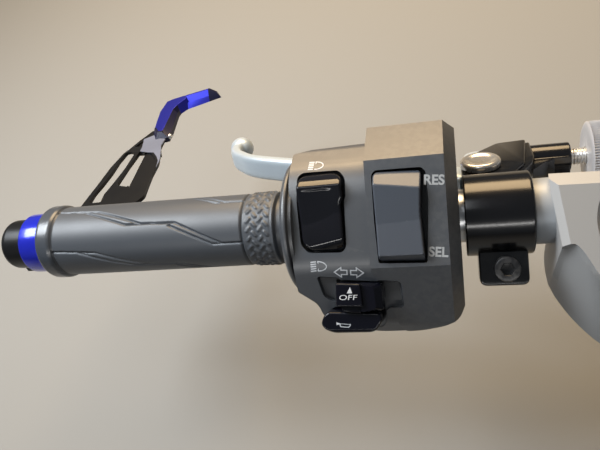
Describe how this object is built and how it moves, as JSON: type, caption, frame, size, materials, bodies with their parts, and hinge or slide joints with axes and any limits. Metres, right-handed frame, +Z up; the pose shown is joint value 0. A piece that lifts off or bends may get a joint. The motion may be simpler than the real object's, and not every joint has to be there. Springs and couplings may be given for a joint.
{
  "type": "left clip-on handlebar assembly",
  "caption": "Left clip-on handlebar of a sport motorcycle with rubber grip, switch housing, silver clutch lever, black lever guard with a blue tip and a cast fork clamp.",
  "frame": {"origin": "centre of the fork clamp's bore", "axes": "+X along the bar from its outer end towards the fork, +Y forward, +Z up"},
  "size_m": [0.3291, 0.1997, 0.0896],
  "materials": {
    "cast_silver": "satin",
    "steel": "satin",
    "black_steel": "satin",
    "bar_aluminium": "brushed",
    "grip_rubber": "matt",
    "blue_anodised": "gloss",
    "guard_black": "satin",
    "case_plastic": "fine texture",
    "gloss_black": "gloss",
    "grey_plastic": "satin",
    "soft_rubber": "matt",
    "perch_black": "gloss",
    "lever_silver": "satin",
    "bronze": "machined"
  },
  "bodies": {
    "bar_assembly": {"fork_clamp": "cast_silver", "fork_pinch_bolt": "black_steel", "handlebar_tube": "bar_aluminium", "grip": "grip_rubber", "bar_end_collar": "blue_anodised", "bar_end_bolt": "black_steel", "bar_end_plug": "soft_rubber", "guard_arm": "guard_black", "guard_tip": "blue_anodised", "guard_tip_screws": "steel", "switch_case_rear": "case_plastic", "switch_case_front": "case_plastic", "switch_case_screws": "steel", "dimmer_rocker": "gloss_black", "menu_rocker": "grey_plastic", "turn_switch": "gloss_black", "horn_button": "gloss_black", "passing_trigger": "case_plastic", "harness_grommet": "soft_rubber", "lever_perch": "perch_black", "perch_pinch_bolt": "black_steel", "clutch_switch": "case_plastic", "cable_adjuster": "steel", "adjuster_wheel": "steel", "pivot_bolt": "steel", "pivot_nut": "steel"},
    "clutch_lever_body": {"clutch_lever": "lever_silver", "lever_bush": "bronze"}
  },
  "joints": [
    {"name": "clutch_lever_hinge", "type": "hinge", "parent": "bar_assembly", "child": "clutch_lever_body", "pos_m": [-0.06, 0.02965, 0.00046], "axis": [0, 0.4617, 0.887], "range_deg": [0, 20], "stiffness_Nm_per_rad": 3, "springref_deg": -17.19}
  ]
}
